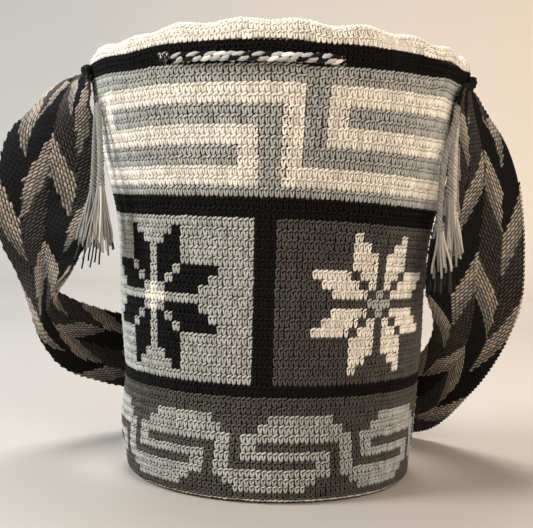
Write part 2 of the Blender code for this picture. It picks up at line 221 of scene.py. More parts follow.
def swell(height, angle):
    """How the radius changes: the foot bulges to the front and left, the right seam is pulled in."""
    foot = FOOT_BULGE * ease(1 - height / 0.06) * np.maximum(-np.sin(angle), 0.0) ** 2
    left = LEFT_BULGES[0] * ease(1 - np.abs(height - 0.030) / 0.045)
    left = left + LEFT_BULGES[1] * ease(1 - np.abs(height - 0.125) / 0.06)
    foot = foot + left * np.maximum(-np.cos(angle), 0.0) ** 2
    seam = SEAM_PINCH * ease((height - 0.222) / 0.03) * ease((0.270 - height) / 0.012)
    return 1 + foot - seam * np.maximum(np.cos(angle), 0.0) ** 6


def smooth_table(points, count=1600):
    """Dense table of the smooth curve through (x, value, value) points."""
    xs = np.array([p[0] for p in points])
    table = np.linspace(xs[0], xs[-1], count)
    columns = [table]
    for k in range(1, len(points[0])):
        ys = np.array([p[k] for p in points])
        slopes = np.gradient(ys, xs)
        i = np.clip(np.searchsorted(xs, table, side="right") - 1, 0, len(xs) - 2)
        span = xs[i + 1] - xs[i]
        t = (table - xs[i]) / span
        value = ys[i] * (2 * t**3 - 3 * t**2 + 1) + ys[i + 1] * (3 * t**2 - 2 * t**3)
        value += span * (slopes[i] * (t**3 - 2 * t**2 + t) + slopes[i + 1] * (t**3 - t**2))
        columns.append(value)
    return columns


LEVELS, RADII, HEIGHTS = smooth_table(SECTION)
NORMAL_OUT = np.gradient(HEIGHTS, LEVELS)
NORMAL_UP = -np.gradient(RADII, LEVELS)
NORMAL_LENGTH = np.hypot(NORMAL_OUT, NORMAL_UP)
NORMAL_OUT = NORMAL_OUT / NORMAL_LENGTH
NORMAL_UP = NORMAL_UP / NORMAL_LENGTH


def wall_points(azimuth, level, stand):
    """Points at azimuths (degrees), levels and distances outside the wall, as an (n, 3) array."""
    angle = np.radians(azimuth)
    radius = np.interp(level, LEVELS, RADII) + stand * np.interp(level, LEVELS, NORMAL_OUT)
    height = np.interp(level, LEVELS, HEIGHTS) + stand * np.interp(level, LEVELS, NORMAL_UP)
    height = height - sink(level, angle)
    soft = ease((level / BAG_TOP - 0.78) / 0.20)
    puckers = np.sin(7 * angle + 0.6) + 0.7 * np.sin(12 * angle + 2.1) + 0.5 * np.sin(19 * angle)
    height = height + 0.0007 * soft * puckers
    lip = ease((level - 0.284) / 0.012)
    height = height + 0.0013 * lip * np.cos(20 * angle - math.radians(130))
    radius = radius * swell(height, angle)
    radius = radius + 0.0007 * soft * np.sin(9 * angle + 1.0) + 0.0006 * np.sin(3 * angle + level * 25)
    return np.stack([radius * np.cos(angle), radius * np.sin(angle), height], axis=-1)


def row_levels():
    """Every row: start and end level, field, place in the field, stitches, edge of a stitch."""
    rows = []
    start = FOOT_LEVEL
    for field, count, stitches, edge, end in FIELDS:
        for k in range(count):
            rows.append((start + (end - start) * k / count, start + (end - start) * (k + 1) / count,
                         field, count - 1 - k, stitches, edge))
        start = end
    return rows


ROWS = row_levels()


def meander(s, down):
    """Cream key meander on light grey, ten rows: runs of two rows, 49 stitches to a repeat."""
    s = (s + 98) % 220 % 49
    post = (s >= 41) & (s < 45)
    runs = (s < 45, (s < 4) | post, (s < 37) | post, ((s >= 33) & (s < 37)) | post, (s < 37) | (s >= 41))
    return np.where(runs[down // 2], CREAM, LIGHT)


def panel(s, down):
    """Four panels between black bars, light and dark by turns, each with an eight-petalled star."""
    s = s % 98
    dark = s < 49
    ground = np.where(dark, DARK, LIGHT)
    petal = np.where(dark, CREAM, BLACK)
    heart = np.where(dark, LIGHT, CREAM)
    dx = np.abs(s - np.where(dark, 26, 76))
    dy = abs(down - 8)
    upright = (dx > max(1, 2 * dy - 9)) & (dx < min(2 * dy - 1, 7)) & (2 <= dy <= 7)
    level = (dx > 2 * dy + 1) & (dx < 2 * dy + 9) & (1 <= dy <= 3)
    cross = ((dx < 3) & (dy == 0)) | ((dx < 1) & (dy == 1))
    yarn = np.where(upright | level, petal, ground)
    yarn = np.where(cross, heart, yarn)
    return np.where(s % 49 < 4, BLACK, yarn)


def scroll(s, down):
    """Light grey running scrolls on dark grey, nine rows, 24 stitches to a repeat."""
    depth = min(down, 8 - down)
    run = ((5, 18), (3, 20), (0, 22), (0, 3), (0, 17))[depth]
    yarn = np.zeros(s.shape, dtype=bool)
    for t in (s % 24, s % 24 - 24):
        t = 17 - t if down > 4 else t
        yarn |= (t > run[0]) & (t < run[1])
        if depth >= 3:
            yarn |= (t > 19) & (t < 22)
    return np.where(yarn, LIGHT, DARK)


def yarns(row, turn):
    """Yarn of a row at azimuths from the front, in degrees; the patterns count in stitches."""
    field, down, stitches, edge = ROWS[row][2:]
    s = (turn - edge) * stitches / 360
    if field == "meander":
        return meander(s, down)
    if field == "panel":
        return panel(s, down)
    if field == "scroll":
        return scroll(s, down)
    plain = {"base": CREAM, "foot": DARK, "ground": DARK, "line": BLACK, "plain": LIGHT, "rim": CREAM}[field]
    return np.full(turn.shape, plain)


def yarn_group():
    """Spun cotton: plies wound round the strand, painted shade between the plies, loose fibres and a shade
    that varies by stitch.
    """
    group = bpy.data.node_groups.new("spun_yarn", "ShaderNodeTree")
    faces = group.interface
    faces.new_socket("Colour", in_out="INPUT", socket_type="NodeSocketColor")
    faces.new_socket("Plies", in_out="INPUT", socket_type="NodeSocketFloat")
    faces.new_socket("Contrast", in_out="INPUT", socket_type="NodeSocketFloat")
    faces.new_socket("Colour", in_out="OUTPUT", socket_type="NodeSocketColor")
    faces.new_socket("Height", in_out="OUTPUT", socket_type="NodeSocketFloat")
    faces.new_socket("Roughness", in_out="OUTPUT", socket_type="NodeSocketFloat")
    nodes = group.nodes
    links = group.links
    given = nodes.new("NodeGroupInput")
    result = nodes.new("NodeGroupOutput")
    uv = nodes.new("ShaderNodeUVMap")
    uv.uv_map = "strand"
    split = nodes.new("ShaderNodeSeparateXYZ")
    links.new(uv.outputs["UV"], split.inputs[0])

    def maths(operation, first, second=None):
        node = nodes.new("ShaderNodeMath")
        node.operation = operation
        for socket, value in zip(node.inputs, (first, second)):
            if value is None:
                continue
            if isinstance(value, (int, float)):
                socket.default_value = value
            else:
                links.new(value, socket)
        return node.outputs[0]

    along = maths("MULTIPLY", split.outputs["Y"], given.outputs["Plies"])
    wound = maths("ADD", along, maths("MULTIPLY", split.outputs["X"], 2.0))
    wave = maths("SINE", maths("MULTIPLY", wound, 2 * math.pi))
    ply = maths("MULTIPLY", maths("ADD", wave, 1.0), 0.5)
    place = nodes.new("ShaderNodeTexCoord")
    fibres = nodes.new("ShaderNodeTexNoise")
    fibres.inputs["Scale"].default_value = 2600.0
    fibres.inputs["Detail"].default_value = 3.0
    links.new(place.outputs["Object"], fibres.inputs["Vector"])
    fuzz = nodes.new("ShaderNodeTexNoise")
    fuzz.inputs["Scale"].default_value = 90.0
    fuzz.inputs["Detail"].default_value = 2.0
    links.new(place.outputs["Object"], fuzz.inputs["Vector"])
    shade = nodes.new("ShaderNodeAttribute")
    shade.attribute_name = "shade"
    light = maths("ADD", maths("MULTIPLY", shade.outputs["Fac"], 0.34), 0.83)
    # Painted shade: the colour darkens along the grooves between the plies
    light = maths("MULTIPLY", light, maths("ADD", maths("MULTIPLY", ply, 0.22), 0.86))
    light = maths("MULTIPLY", light, maths("ADD", maths("MULTIPLY", fibres.outputs["Fac"], 0.30), 0.86))
    light = maths("MULTIPLY", light, maths("ADD", maths("MULTIPLY", fuzz.outputs["Fac"], 0.16), 0.93))
    tone = maths("ADD", maths("MULTIPLY", maths("SUBTRACT", light, 1.0), given.outputs["Contrast"]), 1.0)
    mix = nodes.new("ShaderNodeMix")
    mix.data_type = "RGBA"
    mix.blend_type = "MULTIPLY"
    mix.inputs["Factor"].default_value = 1.0
    links.new(given.outputs["Colour"], mix.inputs["A"])
    links.new(tone, mix.inputs["B"])
    links.new(mix.outputs["Result"], result.inputs["Colour"])
    height = maths("ADD", maths("MULTIPLY", ply, 0.7), maths("MULTIPLY", fibres.outputs["Fac"], 0.45))
    links.new(height, result.inputs["Height"])
    rough = maths("ADD", maths("MULTIPLY", fibres.outputs["Fac"], 0.2), 0.74)
    links.new(rough, result.inputs["Roughness"])
    return group


SPUN_YARN = yarn_group()
PLY_RELIEF = 0.00018


def yarn_material(name, colour, sheen):
    """One cotton: its colour and sheen on spun yarn of three plies."""
    material = bpy.data.materials.new(name)
    material.use_nodes = True
    nodes = material.node_tree.nodes
    links = material.node_tree.links
    shader = nodes["Principled BSDF"]
    shader.inputs["Sheen Weight"].default_value = sheen
    shader.inputs["Sheen Roughness"].default_value = 0.5
    shader.inputs["Specular IOR Level"].default_value = 0.25
    group = nodes.new("ShaderNodeGroup")
    group.node_tree = SPUN_YARN
    group.inputs["Colour"].default_value = (*colour, 1.0)
    group.inputs["Plies"].default_value = 3.0
    group.inputs["Contrast"].default_value = 1.0
    bump = nodes.new("ShaderNodeBump")
    bump.inputs["Strength"].default_value = 0.6
    bump.inputs["Distance"].default_value = PLY_RELIEF
    links.new(group.outputs["Height"], bump.inputs["Height"])
    links.new(group.outputs["Colour"], shader.inputs["Base Color"])
    links.new(group.outputs["Roughness"], shader.inputs["Roughness"])
    links.new(bump.outputs["Normal"], shader.inputs["Normal"])
    return material


def bead(bm, centre, size, lean, sides=4, rings=4, half=False):
    """One short length of yarn that shows between two others: a long bead, leaning in its plane."""
    made = bmesh.ops.create_uvsphere(bm, u_segments=sides, v_segments=rings, radius=0.5, calc_uvs=True)
    made = made["verts"]
    if half:
        hidden = [vert for vert in made if vert.co.y < -0.1]
        made = [vert for vert in made if vert.co.y >= -0.1]
        bmesh.ops.delete(bm, geom=hidden, context="VERTS")
    bmesh.ops.scale(bm, verts=made, vec=(size[1], size[2], size[0]))
    bmesh.ops.rotate(bm, verts=made, cent=(0, 0, 0), matrix=Matrix.Rotation(lean, 3, "Y"))
    bmesh.ops.translate(bm, verts=made, vec=centre)
    return made


def template_arrays(bm):
    """Corners, triangles and strand coordinates of a template, ready to be laid out many times."""
    bmesh.ops.triangulate(bm, faces=bm.faces)
    bm.verts.ensure_lookup_table()
    bm.verts.index_update()
    uv = bm.loops.layers.uv.verify()
    corners = np.array([tuple(v.co) for v in bm.verts])
    triangles = np.array([[loop.vert.index for loop in face.loops] for face in bm.faces])
    strand = np.array([[tuple(loop[uv].uv) for loop in face.loops] for face in bm.faces])
    bm.free()
    return corners, triangles, strand


def turned(triangles, strand):
    """The same faces wound the other way, for a template that is laid out as its mirror image."""
    return triangles[:, ::-1], strand[:, ::-1]


def stitch_template():
    """A single crochet in millimetres: the slanted loop on top and the V of its legs below it."""
    bm = bmesh.new()
    bead(bm, (0.0, 0.20, 5.05), (4.7, 1.65, 1.9), math.radians(65))
    bead(bm, (-0.80, 0.0, 1.8), (5.6, 1.65, 1.8), math.radians(-12), rings=3)
    bead(bm, (0.80, 0.0, 1.8), (5.6, 1.65, 1.8), math.radians(12), rings=3)
    return template_arrays(bm)


def mesh_from_arrays(name, points, triangles, strand, shade, yarn, materials):
    """One mesh of many laid-out templates, with its strand map, shades and yarns."""
    mesh = bpy.data.meshes.new(name)
    mesh.vertices.add(len(points))
    mesh.vertices.foreach_set("co", points.astype(np.float32).ravel())
    mesh.loops.add(triangles.size)
    mesh.loops.foreach_set("vertex_index", triangles.astype(np.int32).ravel())
    mesh.polygons.add(len(triangles))
    mesh.polygons.foreach_set("loop_start", np.arange(0, triangles.size, 3, dtype=np.int32))
    mesh.polygons.foreach_set("material_index", yarn.astype(np.int32))
    for material in materials:
        mesh.materials.append(material)
    layer = mesh.uv_layers.new(name="strand")
    layer.data.foreach_set("uv", strand.astype(np.float32).ravel())
    tones = mesh.attributes.new("shade", "FLOAT", "POINT")
    tones.data.foreach_set("value", shade.astype(np.float32))
    mesh.update()
    mesh.validate()
    mesh.shade_smooth()
    piece = bpy.data.objects.new(name, mesh)
    bpy.context.collection.objects.link(piece)
    return piece


STITCH = stitch_template()
STITCH_WIDTH = 3.7
STITCH_HEIGHT = 6.2
YARN_SHEEN = (0.20, 0.15, 0.05, 0.004)
COTTON = [yarn_material(name, colour, sheen)
          for name, colour, sheen in zip(YARN_NAMES, YARN_COLOURS, YARN_SHEEN)]


def stitch_rows(name, rows):
    """One piece of the body: all the stitches of rows (levels, azimuths, width and yarns of the stitches)."""
    corners, triangles, strand = STITCH
    triangles, strand = turned(triangles, strand)
    rng = np.random.default_rng(len(name))
    points, faces, shades, colours = [], [], [], []
    count = 0
    for start, end, turn, width, yarn in rows:
        stitches = len(turn)
        azimuth = FRONT + turn
        wobble = rng.normal(0.0, 1.0, (4, stitches, 1))
        across = corners[None, :, 0] / STITCH_WIDTH * (1 + 0.05 * wobble[0]) + 0.04 * wobble[1]
        up = corners[None, :, 2] * (end - start) / STITCH_HEIGHT + 0.0002 * wobble[2]
        out = 0.001 * (corners[None, :, 1] + 0.12 * wobble[3]) - 0.0004
        places = wall_points(azimuth[:, None] + across * width, start + up, out)
        points.append(places.reshape(-1, 3))
        first = count + len(corners) * np.arange(stitches)
        faces.append((triangles[None] + first[:, None, None]).reshape(-1, 3))
        count += len(corners) * stitches
        shades.append(np.repeat(rng.uniform(0.0, 1.0, stitches), len(corners)))
        colours.append(np.repeat(yarn, len(triangles)))
    faces = np.concatenate(faces)
    strands = np.tile(strand.reshape(-1, 2), (len(faces) // len(triangles), 1))
    piece = mesh_from_arrays(name, np.concatenate(points), faces, strands,
                             np.concatenate(shades), np.concatenate(colours), COTTON)
    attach(piece, "root")
    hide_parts("bag_body")


def wall_rows(first, last):
    """Rows first to last of the wall, without the stitches that the eyelets take up."""
    rows = []
    for row in range(first, last):
        start, end, _, _, stitches, edge = ROWS[row]
        width = 360 / stitches
        turn = (edge + (np.arange(stitches) + 0.5) * width + 180) % 360 - 180
        if start < CORD_LEVEL < end:
            for eyelet in EYELETS:
                turn = turn[np.abs(turn - eyelet) > EYELET_STITCHES]
        rows.append((start, end, turn, width, yarns(row, turn)))
    return rows


BASE_ROUNDS = 13
BASE_RADIUS = 0.0885
BASE_EDGE = -0.008
BASE_UNDER = (0.0002, 0.0014)
BASE_OVER = (0.0038, 0.0050)
base_rows = []
for k in range(1, BASE_ROUNDS):
    start = SECTION[0][0] + (BASE_EDGE - SECTION[0][0]) * k / BASE_ROUNDS
    end = SECTION[0][0] + (BASE_EDGE - SECTION[0][0]) * (k + 1) / BASE_ROUNDS
    base_turn = (np.arange(12 * k) + 0.5) * 30 / k
    base_rows.append((start, end, base_turn, 30 / k, np.full(12 * k, CREAM)))

# The rows in six pieces, from the base to the rim, each of them light enough to export whole
stitch_rows("crochet_base_rounds", base_rows)
stitch_rows("crochet_scroll_rows", wall_rows(0, 15))
stitch_rows("crochet_panel_rows_low", wall_rows(15, 24))
stitch_rows("crochet_panel_rows_high", wall_rows(24, 32))
stitch_rows("crochet_meander_rows", wall_rows(32, 47))
stitch_rows("crochet_rim_rows", wall_rows(47, len(ROWS)))

# Inside of the body: the back of the same crochet, whose rows show as ridges, and the round base,
# worked outwards from its centre in cream. It backs the stitches, so that nothing shows through.
WALL = 0.0045
BACKING = 0.0016
SHELL_SEGMENTS = 98


def shell_profile():
    """Half section, from under the middle of the base up the outside and down the inside."""
    outside = []
    for k in range(BASE_ROUNDS * 2):
        radius = BASE_RADIUS * k / (BASE_ROUNDS * 2)
        outside.append((radius, BASE_UNDER[k % 2]))
    level_stops = [ROWS[0][0]] + [row[1] for row in ROWS]
    for level in level_stops:
        radius = np.interp(level, LEVELS, RADII) - BACKING * np.interp(level, LEVELS, NORMAL_OUT)
        height = np.interp(level, LEVELS, HEIGHTS) - BACKING * np.interp(level, LEVELS, NORMAL_UP)
        outside.append((float(radius), float(max(height, 0.0018))))
    inside = []
    levels = [level for level in level_stops if 0.008 < level < 0.30]
    for k, level in enumerate(reversed(levels)):
        radius = float(np.interp(level, LEVELS, RADII)) - WALL
        inside.append((radius + 0.0010, float(np.interp(level, LEVELS, HEIGHTS))))
        below = level - 0.003
        inside.append((float(np.interp(below, LEVELS, RADII)) - WALL - 0.0002, below))
    for k in range(BASE_ROUNDS * 2, -1, -1):
        inside.append((0.089 * k / (BASE_ROUNDS * 2), BASE_OVER[k % 2]))
    return outside, inside


def pierce(bm):
    """Open the two eyelets that the drawstring passes through."""
    holes = []
    for face in bm.faces:
        centre = face.calc_center_median()
        angle = math.atan2(centre.y, centre.x)
        turn = (math.degrees(angle) - FRONT + 540.0) % 360.0 - 180.0
        off = min(abs(turn - eyelet) for eyelet in EYELETS)
        if off < EYELET_HALF[0] and abs(centre.z + sink(CORD_LEVEL, angle) - CORD_LEVEL) < EYELET_HALF[1]:
            holes.append(face)
    bmesh.ops.delete(bm, geom=holes, context="FACES")


def make_shell():
    outside, inside = shell_profile()
    bm = bmesh.new()
    verts = [bm.verts.new((radius, 0.0, height)) for radius, height in outside + inside]
    edges = [bm.edges.new(pair) for pair in zip(verts, verts[1:])]
    bmesh.ops.rotate(bm, verts=verts, cent=(0, 0, 0), matrix=Matrix.Rotation(math.radians(FRONT), 3, "Z"))
    bmesh.ops.spin(bm, geom=verts + edges, cent=(0, 0, 0), axis=(0, 0, 1), angle=2 * math.pi,
                   steps=SHELL_SEGMENTS, use_merge=True)
    bmesh.ops.remove_doubles(bm, verts=bm.verts, dist=0.00001)
    bmesh.ops.recalc_face_normals(bm, faces=bm.faces)
    if bm.calc_volume(signed=True) < 0:
        bmesh.ops.reverse_faces(bm, faces=bm.faces)
    for vert in bm.verts:
        angle = math.atan2(vert.co.y, vert.co.x)
        vert.co.z -= sink(vert.co.z, angle)
        vert.co.xy = vert.co.xy * float(swell(vert.co.z, angle))
    pierce(bm)
    mesh = bpy.data.meshes.new("crochet_backing")
    bm.to_mesh(mesh)
    bm.free()
    return mesh


def colour_shell(mesh):
    """Give the shell the darker of the yarns in front of it; outside, one step darker again: painted shade in
    the gaps.
    """
    count = len(mesh.polygons)
    centres = np.empty(count * 3)
    mesh.polygons.foreach_get("center", centres)
    x, y, z = centres.reshape(-1, 3).T
    angle = np.arctan2(y, x)
    radius = np.hypot(x, y) / swell(z, angle)
    z = z + sink(z, angle)
    turn = (np.degrees(angle) - FRONT + 540.0) % 360.0 - 180.0
    rows = np.clip(np.searchsorted([row[1] for row in ROWS], z), 0, len(ROWS) - 1)
    index = np.zeros(count, dtype=np.int32)
    for row in range(len(ROWS)):
        here = rows == row
        index[here] = np.maximum(yarns(row, turn[here] - 1.2), yarns(row, turn[here] + 1.2))
    outside = radius > np.interp(z, HEIGHTS[:1500], RADII[:1500]) - 0.5 * WALL
    # Painted shade: where the outside shows between the stitches, its yarn is one step darker
    darker = outside & (index > CREAM)
    index[darker] = np.minimum(index[darker] + 1, BLACK)
    index[(z < 0.0065) & (radius < 0.0915)] = CREAM
    mesh.polygons.foreach_set("material_index", index)
    mesh.shade_smooth()


shell_mesh = make_shell()
for cotton in COTTON:
    shell_mesh.materials.append(cotton)
colour_shell(shell_mesh)
shell = bpy.data.objects.new("crochet_backing", shell_mesh)
bpy.context.collection.objects.link(shell)
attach(shell, "root")
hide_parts("bag_body")

# Strap: a band plaited from many cotton strands in four columns that slant up and down by turns, so
# that its stripes make chevrons. Its yarns are darker and warmer than the body's: partly their own tone,
# partly painted shade. Both ends are sewn flat on the rim, and the band hangs round the back.
BAND_COLOURS = ((0.40, 0.335, 0.27), (0.235, 0.215, 0.185), (0.05, 0.044, 0.039), YARN_COLOURS[BLACK])
BAND = [yarn_material("strap_" + name, colour, sheen / 2)
        for name, colour, sheen in zip(YARN_NAMES, BAND_COLOURS, YARN_SHEEN)]
STRAP_WIDTH = 0.070
STRAP_FOLD = STRAP_WIDTH / 4
STRAP_STAND = 0.0030
STRAP_TUCK = 0.007
CHEVRON_LENGTH = 0.0765
CHEVRON_SLANT = 0.034
CHEVRON_SHIFT = 0.0305
CHEVRON_START = -0.016
PLAIN_ENDS = (0.020, 0.038)

# Stations: azimuth of the inner edge, height of the outer edge as a share of the bag's height,
# clearance of the inner edge from the wall, azimuth of the width, dip of the width
STRAP_ROUTE = (
    (184.0, 0.922, 0.000, 90.0, 0.0), (184.0, 0.912, 0.000, 90.0, 0.0), (200.0, 0.892, 0.002, 110.0, 0.0),
    (200.0, 0.870, 0.002, 120.0, 0.0), (197.0, 0.823, 0.003, 133.0, 0.0), (191.0, 0.783, 0.003, 147.0, 0.0),
    (184.0, 0.718, 0.005, 164.0, 0.0), (180.5, 0.619, 0.014, 171.0, 1.0), (183.0, 0.520, 0.023, 155.0, 5.0),
    (181.0, 0.435, 0.031, 135.0, 13.0), (178.0, 0.350, 0.038, 122.0, 22.0),
    (173.0, 0.262, 0.047, 111.0, 38.0), (164.0, 0.190, 0.049, 104.0, 54.0),
    (147.0, 0.130, 0.043, 98.0, 60.0), (117.0, 0.080, 0.042, 94.0, 60.0),
    (90.0, 0.030, 0.042, 90.0, 60.0), (61.0, 0.006, 0.034, 70.0, 62.0), (38.0, 0.030, 0.024, 55.0, 54.0),
    (17.0, 0.150, 0.014, 47.0, 38.0), (6.0, 0.280, 0.008, 31.0, 20.0), (1.0, 0.400, 0.006, 20.0, 6.0),
    (-4.0, 0.510, 0.004, 22.0, 0.0), (-9.0, 0.625, 0.003, 34.0, 0.0), (-13.5, 0.715, 0.003, 47.0, 0.0),
    (-18.0, 0.785, 0.002, 56.0, 0.0), (-23.0, 0.842, 0.002, 66.0, 0.0),
    (-25.0, 0.885, 0.002, 76.0, 0.0), (-3.0, 0.908, 0.000, 90.0, 0.0), (-3.0, 0.918, 0.000, 90.0, 0.0),
)


def wall_radius(height, azimuth):
    """Outside radius of the bag at a height above the floor."""
    angle = math.radians(azimuth)
    level = height
    for _ in range(12):
        level = height + sink(level, angle)
    return float(np.interp(level, LEVELS, RADII) * swell(height, angle))


def strap_table():
    """Dense table along the strap: distance, inner edge, direction of the width, share that is sewn."""
    knots = []
    distance = 0.0
    last = None
    for azimuth, share, clearance, facing, dip in STRAP_ROUTE:
        facing = math.radians(facing)
        dip = math.radians(dip)
        across = Vector((math.cos(dip) * math.cos(facing), math.cos(dip) * math.sin(facing), -math.sin(dip)))
        height = share * BAG_TOP - across.z * STRAP_WIDTH
        if clearance:
            radius = wall_radius(height, azimuth) + clearance + STRAP_STAND
        else:
            radius = RIM_RADIUS + STRAP_STAND
            turn = math.degrees(0.5 * STRAP_WIDTH / radius)
            azimuth += turn if azimuth > 90 else -turn
        angle = math.radians(azimuth)
        edge = Vector((radius * math.cos(angle), radius * math.sin(angle), height))
        middle = edge + across * STRAP_WIDTH / 2
        tuck = STRAP_TUCK if 0.30 < share < 0.80 else 0.0
        edge = edge - across * tuck
        if last is not None:
            distance += (middle - last).length
        last = middle
        knots.append((distance, *edge, *across, 0.0 if clearance else 1.0, 1 + tuck / STRAP_WIDTH))
    return smooth_table(knots, 2000)


STRAP_TABLE = strap_table()
STRAP_LENGTH = float(STRAP_TABLE[0][-1])


def strap_middle(distance, reach):
    """Points of the band's middle layer; the sewn ends are wrapped round the wall."""
    values = [np.interp(distance, STRAP_TABLE[0], column) for column in STRAP_TABLE[1:]]
    edge = np.stack(values[:3], axis=-1)
    across = np.stack(values[3:6], axis=-1)
    across = across / np.linalg.norm(across, axis=-1, keepdims=True) * values[7][..., None]
    sewn = np.clip(values[6][..., None], 0.0, 1.0)
    side = np.where(edge[..., 0] < 0, -1.0, 1.0)
    angle = np.arctan2(edge[..., 1], edge[..., 0]) + side * reach / np.hypot(edge[..., 0], edge[..., 1])
    radius = RIM_RADIUS + STRAP_STAND
    wrapped = np.stack([radius * np.cos(angle), radius * np.sin(angle), edge[..., 2]], axis=-1)
    return (edge + across * reach[..., None]) * (1 - sewn) + wrapped * sewn


def strap_points(distance, reach, lift):
    """Points on the strap at a distance, a reach from the inner edge and a lift off the middle layer."""
    step = 0.0008
    distance = np.clip(distance, step, STRAP_LENGTH - step)
    along = strap_middle(distance + step, reach) - strap_middle(distance - step, reach)
    beside = strap_middle(distance, reach + step) - strap_middle(distance, reach - step)
    normal = np.cross(along, beside)
    normal = normal / np.linalg.norm(normal, axis=-1, keepdims=True)
    crown = 0.0005 * np.abs(np.sin(4 * math.pi * reach / STRAP_WIDTH))
    lift = lift + np.sign(lift) * crown
    return strap_middle(distance, reach) + normal * lift[..., None]


def strap_yarn(distance, reach):
    """Chevrons: cream, light grey, then black or dark grey; outer columns lag by one stripe."""
    along = np.minimum(distance, STRAP_LENGTH - distance) - CHEVRON_START
    start = (1 - np.abs((reach / STRAP_FOLD) % 2 - 1)) * CHEVRON_SLANT
    outer = (reach < STRAP_FOLD) | (reach > 3 * STRAP_FOLD)
    phase = (along - start - outer * CHEVRON_SHIFT) / CHEVRON_LENGTH
    fill = np.where((reach > STRAP_WIDTH / 2) == (np.floor(phase) % 2 == 0), BLACK, DARK)
    share = phase % 1.0
    plain = (distance < PLAIN_ENDS[0]) | (distance > STRAP_LENGTH - PLAIN_ENDS[1])
    return np.where(plain | (share > 0.40), fill, np.where(share < 0.24, CREAM, LIGHT))


# Strands: the length and width that show of each, and the slants of the columns in the left and right half
STRAND_LENGTH = 0.0046
STRAND_WIDTH = 0.00205
LEFT_SLANTS = (56.0, 17.0)
RIGHT_SLANTS = (28.0, 42.0)


def strand_template():
    """A short length of strand that shows on the band, half sunk in it; x across, z along, y out."""
    bm = bmesh.new()
    bead(bm, (0.0, 0.0, 0.0), (4.9, 1.95, 2.5), 0.0, half=True)
    return template_arrays(bm)


def strand_lattice():
    """Distance, reach and angle of every strand length: brick rows in each column and half."""
    length = STRAND_LENGTH
    width = STRAND_WIDTH
    found = []
    for from_right, slants in ((False, LEFT_SLANTS), (True, RIGHT_SLANTS)):
        for column in range(4):
            slant = math.radians(slants[column % 2])
            turn = 1.0 if column % 2 == 0 else -1.0
            i, j = np.meshgrid(np.arange(-120, 260), np.arange(-220, 220), indexing="ij")
            shift = (i + 0.5 * (j % 2)) * length
            along = shift * math.cos(slant) - turn * j * width * math.sin(slant)
            reach = (column + 0.5) * STRAP_FOLD + turn * shift * math.sin(slant) + j * width * math.cos(slant)
            kept = (along > 0.001) & (along < STRAP_LENGTH / 2)
            kept &= (reach >= column * STRAP_FOLD) & (reach < (column + 1) * STRAP_FOLD)
            along, reach = along[kept], reach[kept]
            angle = np.full(along.shape, turn * slant)
            if from_right:
                found.append((STRAP_LENGTH - along, reach, -angle))
            else:
                found.append((along, reach, angle))
    return [np.concatenate(parts) for parts in zip(*found)]


def strap_face(name, side):
    """The strands that show on one face of the band."""
    corners, triangles, strand = strand_template()
    rng = np.random.default_rng(5 + side)
    distance, reach, angle = strand_lattice()
    count = len(distance)
    angle = angle + 0.05 * rng.standard_normal(count)
    x = 0.001 * corners[None, :, 0] * side
    z = 0.001 * corners[None, :, 2]
    turn_cos, turn_sin = np.cos(angle)[:, None], np.sin(angle)[:, None]
    along = distance[:, None] + z * turn_cos - x * turn_sin
    across = reach[:, None] + z * turn_sin + x * turn_cos
    across = np.clip(across, -0.0004, STRAP_WIDTH + 0.0004)
    lift = side * (0.001 * corners[None, :, 1] + 0.0008 + 0.00012 * rng.standard_normal((count, 1)))
    points = strap_points(along, across, lift)
    faces = triangles[None] + (len(corners) * np.arange(count))[:, None, None]
    piece = mesh_from_arrays(name, points.reshape(-1, 3), faces.reshape(-1, 3),
                             np.tile(strand.reshape(-1, 2), (count, 1)),
                             np.repeat(rng.uniform(0.0, 1.0, count), len(corners)),
                             np.repeat(strap_yarn(distance, reach), len(triangles)), BAND)
    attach(piece, "root")
    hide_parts("strap")


def strap_core():
    """The inside of the band that shows between its outer strands, coloured as painted shade."""
    columns = 24
    rows = int(STRAP_LENGTH / 0.004)
    bm = bmesh.new()
    reach = np.linspace(0.0006, STRAP_WIDTH - 0.0006, columns + 1)
    reach = np.concatenate([reach, reach[::-1]])
    lift = np.full(len(reach), 0.0011)
    lift[columns + 1:] = -0.0011
    rings = []
    for row in range(rows + 1):
        distance = np.full(len(reach), STRAP_LENGTH * row / rows)
        places = strap_points(distance, reach, lift)
        rings.append([bm.verts.new(place) for place in places])
    distances = []
    for row, (ring, following) in enumerate(zip(rings, rings[1:])):
        for k in range(len(ring)):
            other = (k + 1) % len(ring)
            bm.faces.new((ring[k], ring[other], following[other], following[k]))
            distances.append((STRAP_LENGTH * (row + 0.5) / rows, 0.5 * (reach[k] + reach[other])))
    bm.faces.new(rings[0])
    bm.faces.new(rings[-1][::-1])
    distances += [(0.0, 0.01), (STRAP_LENGTH, 0.01)]
    bmesh.ops.recalc_face_normals(bm, faces=bm.faces)
    mesh = bpy.data.meshes.new("strap_core")
    bm.to_mesh(mesh)
    bm.free()
    for cotton in BAND:
        mesh.materials.append(cotton)
    centres = np.array(distances)
    yarn = strap_yarn(centres[:, 0], centres[:, 1])
    # Painted shade: the core is dark grey under cream and light grey strands, and black under the rest
    shadow = np.where(yarn < DARK, DARK, BLACK).astype(np.int32)
    mesh.polygons.foreach_set("material_index", shadow)
    mesh.shade_smooth()
    core = bpy.data.objects.new("strap_core", mesh)
    bpy.context.collection.objects.link(core)
    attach(core, "root")
    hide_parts("strap")


strap_core()
strap_face("strap_outer_strands", 1)
strap_face("strap_inner_strands", -1)

# Drawstring: a round cotton cord braided from strands of three colours, laced through the two eyelets
# under the rim. It lies outside across the front, and inside the wall all the way round the back.
CORD_RADIUS = 0.003
EYELET_LENGTH = 0.019
CORD_CROSSING = math.degrees(0.52 * EYELET_LENGTH / 0.130)
LEAF_PITCH = 0.0058
BRAID = (LIGHT, BLACK, LIGHT, CREAM, LIGHT, LIGHT, BLACK)


